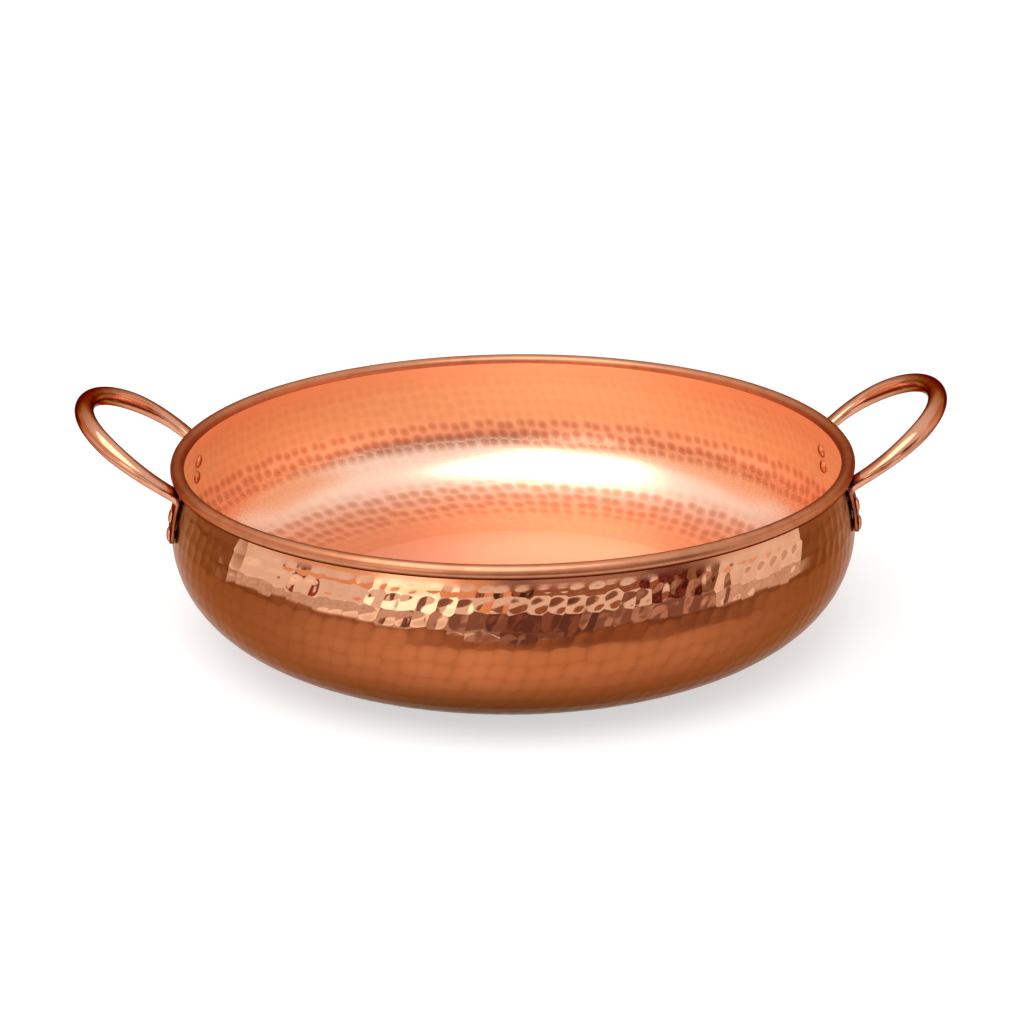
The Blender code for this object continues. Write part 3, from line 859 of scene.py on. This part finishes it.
def buffed_hammered_copper():
    """The outside: raised copper sheet, planished in overlapping rows.

    The neck and shoulder are buffed to a mirror, down to a ragged edge along the hammer marks. Below it, and
    round the handles, where the wheel doesn't reach, the metal is satin, its colour deepened as a painted
    reflection of a brown table. It is darker round the handles as a painted reflection of dark surroundings,
    darker towards the heel and over the flat base as painted shade, and brown in the ridges between the
    marks.
    """
    metal, tree = new_material("buffed_hammered_copper")
    here = add(tree, "ShaderNodeTexCoord").outputs["Object"]
    height = add(tree, "ShaderNodeSeparateXYZ", [here]).outputs["Z"]
    strength = add(tree, "ShaderNodeAttribute", attribute_name="strength").outputs["Fac"]
    marks = add(tree, "ShaderNodeUVMap", uv_map="marks")
    row = add(tree, "ShaderNodeSeparateXYZ", [marks]).outputs["Y"]
    dish, middle = mark_dish(tree, marks, 0.0, MARK_JITTER)
    middle_across, middle_row, _ = add(tree, "ShaderNodeSeparateXYZ", [middle]).outputs
    blots = add(tree, "ShaderNodeTexNoise", {"Vector": here, "Scale": 1 / TARNISH_BLOT, "Detail": 3.0})
    broad = add(tree, "ShaderNodeTexNoise", {"Vector": here, "Scale": 1 / BROAD_BLOT, "Detail": 2.0})

    # How far round towards a handle the mark lies: 0 at the front and back, 1 at the handles
    mark = add(tree, "ShaderNodeMath", [middle_row, -MARK_DRIFT, middle_across], operation="MULTIPLY_ADD")
    angle = add(tree, "ShaderNodeMath", [mark, math.tau / MARKS_OUTSIDE], operation="MULTIPLY")
    cosine = add(tree, "ShaderNodeMath", [angle], operation="COSINE")
    sideways = add(tree, "ShaderNodeMath", [cosine], operation="ABSOLUTE")

    # The buffed band, whose lower edge wanders and rises towards the handles
    edge_row = add(tree, "ShaderNodeMix", {"Factor": BUFFED_BY_MARK, "A": row, "B": middle_row})
    astray = add(tree, "ShaderNodeMath", [broad, NOISE_MIDDLE], operation="SUBTRACT")
    edge_row = add(tree, "ShaderNodeMath", [astray, BUFFED_WANDER, edge_row], operation="MULTIPLY_ADD")
    risen = add(tree, "ShaderNodeMapRange", [sideways, *BUFFED_RISE, 0.0, BUFFED_ROWS_LESS],
                interpolation_type="SMOOTHSTEP")
    edge_row = add(tree, "ShaderNodeMath", [edge_row, risen], operation="ADD")
    above_edge = add(tree, "ShaderNodeMapRange", [
        edge_row, BUFFED_ROWS + BUFFED_EDGE, BUFFED_ROWS - BUFFED_EDGE])
    end = add(tree, "ShaderNodeMath", [astray, BUFFED_SIDE_WANDER, sideways], operation="MULTIPLY_ADD")
    off_handles = add(tree, "ShaderNodeMapRange", [
        end, BUFFED_SIDE + BUFFED_SIDE_EDGE, BUFFED_SIDE - BUFFED_SIDE_EDGE])
    buffed = add(tree, "ShaderNodeMath", [above_edge, off_handles], operation="MULTIPLY")

    # The satin metal, its colour deepened as a painted reflection of a brown table, and where it is darker or
    # browner
    # Painted shade: darker towards the heel
    to_heel = add(tree, "ShaderNodeMapRange", [height, *HEEL_FADE], interpolation_type="SMOOTHSTEP")
    satin = add(tree, "ShaderNodeMix", {
        SHARE: to_heel, FIRST: linear(SATIN_COLOUR), SECOND: linear(HEEL_PAINTED_SHADE)}, data_type="RGBA")
    # Painted reflection of dark surroundings: darker towards the handles
    to_handle = add(tree, "ShaderNodeMapRange", [sideways, *BY_HANDLE_FADE], interpolation_type="SMOOTHSTEP")
    satin = add(tree, "ShaderNodeMix", {
        SHARE: to_handle, FIRST: satin, SECOND: linear(BY_HANDLE_PAINTED_REFLECTION)}, data_type="RGBA")
    # Painted shade: darker over the flat base
    to_base = add(tree, "ShaderNodeMapRange", [height, *BASE_FADE], interpolation_type="SMOOTHSTEP")
    satin = add(tree, "ShaderNodeMix", {
        SHARE: to_base, FIRST: satin, SECOND: linear(BASE_PAINTED_SHADE)}, data_type="RGBA")
    blotted = add(tree, "ShaderNodeMapRange", [broad, *BROAD_SHOWS], interpolation_type="SMOOTHSTEP")
    satin = add(tree, "ShaderNodeMix", {
        SHARE: blotted, FIRST: satin, SECOND: linear(SATIN_BROWN)}, data_type="RGBA")
    off_dish = add(tree, "ShaderNodeMath", [1.0, dish], operation="SUBTRACT")
    ridge = add(tree, "ShaderNodeMath", [off_dish, RIDGE_SHARPNESS], operation="POWER")
    ridge = add(tree, "ShaderNodeMath", [ridge, strength], operation="MULTIPLY")
    ridge = add(tree, "ShaderNodeMath", [ridge, RIDGE_SHOWS], operation="MULTIPLY")
    satin = add(tree, "ShaderNodeMix", {
        SHARE: ridge, FIRST: satin, SECOND: linear(RIDGE_BROWN)}, data_type="RGBA")

    # The buffed metal, a little tarnished
    tarnished = add(tree, "ShaderNodeMapRange", [blots, *TARNISH_SHOWS], interpolation_type="SMOOTHSTEP")
    bright = add(tree, "ShaderNodeMix", {
        SHARE: tarnished, FIRST: linear(BUFFED_COLOUR), SECOND: linear(BUFFED_TARNISH)}, data_type="RGBA")
    colour = add(tree, "ShaderNodeMix", {SHARE: buffed, FIRST: satin, SECOND: bright}, data_type="RGBA")

    mirror = add(tree, "ShaderNodeMapRange", [row, *NECK_ROWS, NECK_ROUGHNESS, MIRROR_ROUGHNESS],
                 interpolation_type="SMOOTHSTEP")
    rough = add(tree, "ShaderNodeMix", {"Factor": buffed, "A": SATIN_ROUGHNESS, "B": mirror})
    struck = add(tree, "ShaderNodeMath", [dish, strength], operation="MULTIPLY")
    relief = add(tree, "ShaderNodeMath", [struck, -MARK_EDGE], operation="MULTIPLY")
    dress_metal(tree, here, colour, OUTER_TINT, rough, relief)
    return metal


def scoured_hammered_copper():
    """The inside: the same sheet, satin from scouring, palest and smoothest where the wall meets the floor.

    The paleness where the wall meets the floor is a painted highlight. Its marks are separate small dents,
    and their bottoms, which the scouring pad doesn't reach, are browner. The flat disc of the floor is a
    little paler than the ring round it, a painted reflection; the ring is darker as painted shade, and so is
    the wall near the rim.
    """
    metal, tree = new_material("scoured_hammered_copper")
    here = add(tree, "ShaderNodeTexCoord").outputs["Object"]
    height = add(tree, "ShaderNodeSeparateXYZ", [here]).outputs["Z"]
    strength = add(tree, "ShaderNodeAttribute", attribute_name="strength").outputs["Fac"]
    marks = add(tree, "ShaderNodeUVMap", uv_map="marks")
    row = add(tree, "ShaderNodeSeparateXYZ", [marks]).outputs["Y"]
    dish, _ = mark_dish(tree, marks, 1.0, MARK_JITTER)

    below_wall = add(tree, "ShaderNodeMapRange", [height, *BEND_FROM_WALL], interpolation_type="SMOOTHSTEP")
    above_floor = add(tree, "ShaderNodeMapRange", [height, *BEND_FROM_FLOOR], interpolation_type="SMOOTHSTEP")
    bend = add(tree, "ShaderNodeMath", [below_wall, above_floor], operation="MULTIPLY")
    # Painted shade on the floor ring, and a painted reflection on the paler disc
    on_disc = add(tree, "ShaderNodeMapRange", [row, *DISC_ROWS], interpolation_type="SMOOTHSTEP")
    colour = add(tree, "ShaderNodeMix", {
        SHARE: on_disc, FIRST: linear(INNER_FLOOR_SHADE), SECOND: linear(INNER_DISC_REFLECTION)},
        data_type="RGBA")
    on_wall = add(tree, "ShaderNodeMapRange", [height, *INNER_WALL_FADE], interpolation_type="SMOOTHSTEP")
    colour = add(tree, "ShaderNodeMix", {
        SHARE: on_wall, FIRST: colour, SECOND: linear(INNER_WALL_COLOUR)}, data_type="RGBA")
    # Painted shade: darker on the wall near the rim
    on_neck = add(tree, "ShaderNodeMapRange", [height, *INNER_NECK_FADE], interpolation_type="SMOOTHSTEP")
    colour = add(tree, "ShaderNodeMix", {
        SHARE: on_neck, FIRST: colour, SECOND: linear(INNER_NECK_SHADE)}, data_type="RGBA")
    # Painted highlight: paler where the wall meets the floor
    colour = add(tree, "ShaderNodeMix", {
        SHARE: bend, FIRST: colour, SECOND: linear(INNER_BEND_HIGHLIGHT)}, data_type="RGBA")
    struck = add(tree, "ShaderNodeMath", [dish, strength], operation="MULTIPLY")
    brown = add(tree, "ShaderNodeMath", [struck, DENT_SHOWS], operation="MULTIPLY")
    colour = add(tree, "ShaderNodeMix", {
        SHARE: brown, FIRST: colour, SECOND: linear(DENT_BROWN)}, data_type="RGBA")

    off_bend = add(tree, "ShaderNodeMapRange", [
        on_wall, 0.0, 1.0, INNER_FLOOR_ROUGHNESS, INNER_WALL_ROUGHNESS])
    rough = add(tree, "ShaderNodeMix", {"Factor": bend, "A": off_bend, "B": INNER_BEND_ROUGHNESS})
    relief = add(tree, "ShaderNodeMath", [struck, -MARK_EDGE], operation="MULTIPLY")
    dress_metal(tree, here, colour, INNER_TINT, rough, relief)
    return metal


def burnished_rim_copper():
    """The rolled rim: sheet closed over its wire and rubbed down with a burnisher, satin, with painted shade
    below.
    """
    metal, tree = new_material("burnished_rim_copper")
    here = add(tree, "ShaderNodeTexCoord").outputs["Object"]
    height = add(tree, "ShaderNodeSeparateXYZ", [here]).outputs["Z"]
    blots = add(tree, "ShaderNodeTexNoise", {"Vector": here, "Scale": 1 / HAND_BLOT, "Detail": 3.0})
    blotted = add(tree, "ShaderNodeMapRange", [blots, *RIM_SHOWS], interpolation_type="SMOOTHSTEP")
    colour = add(tree, "ShaderNodeMix", {
        SHARE: blotted, FIRST: linear(RIM_COLOUR), SECOND: linear(RIM_BROWN)}, data_type="RGBA")
    # Painted shade: darker below the middle of the roll
    below = add(tree, "ShaderNodeMapRange", [height, *UNDER_RIM_FADE], interpolation_type="SMOOTHSTEP")
    colour = add(tree, "ShaderNodeMix", {
        SHARE: below, FIRST: colour, SECOND: linear(RIM_UNDERSIDE_SHADE)}, data_type="RGBA")
    dress_metal(tree, here, colour, RIM_TINT, RIM_ROUGHNESS, 0.0)
    return metal


def polished_copper(name, hex_colour, rough, bow_reflection_from=NOWHERE, palm_shade_from=-NOWHERE):
    """Smooth forged or drawn copper, buffed by hand: long soft ripples, fine scratches and browner places.

    It is browner beyond bow_reflection_from metres from the middle, a painted reflection of dark surroundings
    on the bow, and below palm_shade_from, painted shade on the palms.
    """
    metal, tree = new_material(name)
    here = add(tree, "ShaderNodeTexCoord").outputs["Object"]
    out, _, height = add(tree, "ShaderNodeSeparateXYZ", [here]).outputs
    blots = add(tree, "ShaderNodeTexNoise", {"Vector": here, "Scale": 1 / HAND_BLOT, "Detail": 3.0})
    away = add(tree, "ShaderNodeMath", [out], operation="ABSOLUTE")
    # Painted reflection of dark surroundings: browner towards the outer end of the loop
    bow_reflection = add(tree, "ShaderNodeMapRange", [away, bow_reflection_from, bow_reflection_from + BOW_REFLECTION_RUN],
               interpolation_type="SMOOTHSTEP")
    # Painted shade: browner below the given height, on the palms under the rim
    low = add(tree, "ShaderNodeMapRange", [height, palm_shade_from + PALM_SHADE_RUN, palm_shade_from],
              interpolation_type="SMOOTHSTEP")
    blotted = add(tree, "ShaderNodeMapRange", [blots, *HAND_SHOWS], interpolation_type="SMOOTHSTEP")
    painted_reflection_and_shade = add(tree, "ShaderNodeMath", [bow_reflection, low], operation="MAXIMUM")
    brown = add(tree, "ShaderNodeMath", [painted_reflection_and_shade, blotted], operation="MAXIMUM")
    colour = add(tree, "ShaderNodeMix", {
        SHARE: brown, FIRST: linear(hex_colour), SECOND: linear(HAND_BROWN)}, data_type="RGBA")
    ripples = add(tree, "ShaderNodeMath", [blots, HAND_RIPPLE], operation="MULTIPLY")
    dress_metal(tree, here, colour, HAND_TINT, rough, ripples)
    return metal


# The studio


def card_material(name, hex_colour, mottle):
    """A card that glows with its own colour, mottled between two colours, and shows only in reflections, as a
    painted reflection of a room, the same however it is lit.
    """
    material, tree = new_material(name)
    here = add(tree, "ShaderNodeTexCoord").outputs["Object"]
    blots = add(tree, "ShaderNodeTexNoise", {"Vector": here, "Scale": 1 / CARD_BLOT, "Detail": 1.0})
    share = add(tree, "ShaderNodeMapRange", [blots, *CARD_FADE], interpolation_type="SMOOTHSTEP")
    colour = add(tree, "ShaderNodeMix", {
        SHARE: share, FIRST: linear(hex_colour), SECOND: linear(mottle)}, data_type="RGBA")
    glow = add(tree, "ShaderNodeEmission", {"Color": colour, "Strength": 1.0})
    add(tree, "ShaderNodeOutputMaterial", {"Surface": glow})
    return material


def make_card(name, from_turn, to_turn, low_edge, high_edge, hex_colour, mottle):
    """A curved card that stands round the pan and shows only in reflections.

    Turns are in degrees from the front towards the right. Each edge is (distance, height) in metres.
    """
    bm = bmesh.new()
    steps = max(2, round((to_turn - from_turn) / CARD_STEP))
    before = None
    for i in range(steps + 1):
        turn = math.radians(from_turn + (to_turn - from_turn) * i / steps)
        pair = [bm.verts.new((math.sin(turn) * away, -math.cos(turn) * away, height))
                for away, height in (low_edge, high_edge)]
        if before:
            bm.faces.new((before[0], pair[0], pair[1], before[1]))
        before = pair
    mesh = bpy.data.meshes.new(name)
    bm.to_mesh(mesh)
    bm.free()
    mesh.materials.append(card_material(name, hex_colour, mottle))
    card = new_piece(name, mesh)
    card.visible_camera = card.visible_diffuse = card.visible_shadow = False


def rays_seen(tree):
    """1 for the rays that show a background: straight, in metal and through glass."""
    rays = add(tree, "ShaderNodeLightPath").outputs
    seen = add(tree, "ShaderNodeMath", [rays["Is Camera Ray"], rays["Is Glossy Ray"]], operation="MAXIMUM")
    return add(tree, "ShaderNodeMath", [seen, rays["Is Transmission Ray"]], operation="MAXIMUM")


def white_paper():
    """Matt white paper that lifts itself a little towards white wherever it is seen, and keeps a shadow."""
    material, tree = new_material("white_paper")
    lift = add(tree, "ShaderNodeMath", [rays_seen(tree), FLOOR_LIFT], operation="MULTIPLY")
    shader = add(tree, "ShaderNodeBsdfPrincipled", {
        "Base Color": linear(PAPER_COLOUR), "Roughness": PAPER_ROUGHNESS, "Emission Color": linear(WHITE),
        "Emission Strength": lift})
    add(tree, "ShaderNodeOutputMaterial", {"Surface": shader})
    return material


def make_floor():
    mesh = bpy.data.meshes.new("studio_floor")
    far = FLOOR_SIDE / 2
    mesh.from_pydata([(-far, -far, 0), (far, -far, 0), (far, far, 0), (-far, far, 0)], [], [(0, 1, 2, 3)])
    mesh.materials.append(white_paper())
    floor = new_piece("studio_floor", mesh)
    floor.location.z = -FLOOR_GAP


def make_lamp(name, place, size, power, aim):
    lamp = bpy.data.lights.new(name, "AREA")
    lamp.shape = "RECTANGLE"
    lamp.size, lamp.size_y = size
    lamp.energy = power
    holder = bpy.data.objects.new(name, lamp)
    bpy.context.scene.collection.objects.link(holder)
    holder.location = place
    holder.rotation_euler = (Vector(aim) - Vector(place)).to_track_quat("-Z", "Y").to_euler()


def make_world():
    world = bpy.data.worlds.new("white_room")
    bpy.context.scene.world = world
    world.use_nodes = True
    tree = world.node_tree
    tree.nodes.clear()
    level = add(tree, "ShaderNodeMapRange", {"Value": rays_seen(tree), "To Min": ROOM_LIGHT, "To Max": 1.0})
    light = add(tree, "ShaderNodeBackground", {"Color": linear(WHITE), "Strength": level})
    add(tree, "ShaderNodeOutputWorld", {"Surface": light})


def make_camera():
    right = Vector((1, 0, 0))
    back = Vector((0, -math.cos(CAMERA_TILT), math.sin(CAMERA_TILT)))
    up = back.cross(right)
    across = right * math.cos(CAMERA_ROLL) + up * math.sin(CAMERA_ROLL)
    upward = up * math.cos(CAMERA_ROLL) - right * math.sin(CAMERA_ROLL)
    axes = Matrix((across, upward, back)).transposed().to_4x4()
    lens = bpy.data.cameras.new("photo_camera")
    lens.lens = CAMERA_LENS
    lens.sensor_width = CAMERA_SENSOR
    lens.clip_start, lens.clip_end = CAMERA_CLIP
    camera = bpy.data.objects.new("photo_camera", lens)
    bpy.context.scene.collection.objects.link(camera)
    stand = Matrix.Translation(CAMERA_TARGET + back * CAMERA_DISTANCE) @ axes
    camera.matrix_world = Matrix.Rotation(CAMERA_TURN, 4, "Z") @ stand
    bpy.context.scene.camera = camera


def make_studio():
    make_floor()
    make_world()
    for name, settings in LAMPS.items():
        make_lamp(name, *settings)
    for name, settings in CARDS.items():
        make_card(name, *settings)
    bpy.context.scene.view_settings.view_transform = "Standard"


make_camera()
turning = turning_tree()
make_pan_body(turning, buffed_hammered_copper(), scoured_hammered_copper(), burnished_rim_copper())
make_handles(polished_copper("forged_copper", HANDLE_COLOUR, HANDLE_ROUGHNESS, BOW_REFLECTION_FROM, PALM_SHADE_FROM))
make_rivets(turning, polished_copper("rivet_copper", RIVET_COLOUR, RIVET_ROUGHNESS))
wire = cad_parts["rim_wire"]
wire.data.materials.clear()
wire.data.materials.append(polished_copper("drawn_wire", WIRE_COLOUR, WIRE_ROUGHNESS))
make_studio()
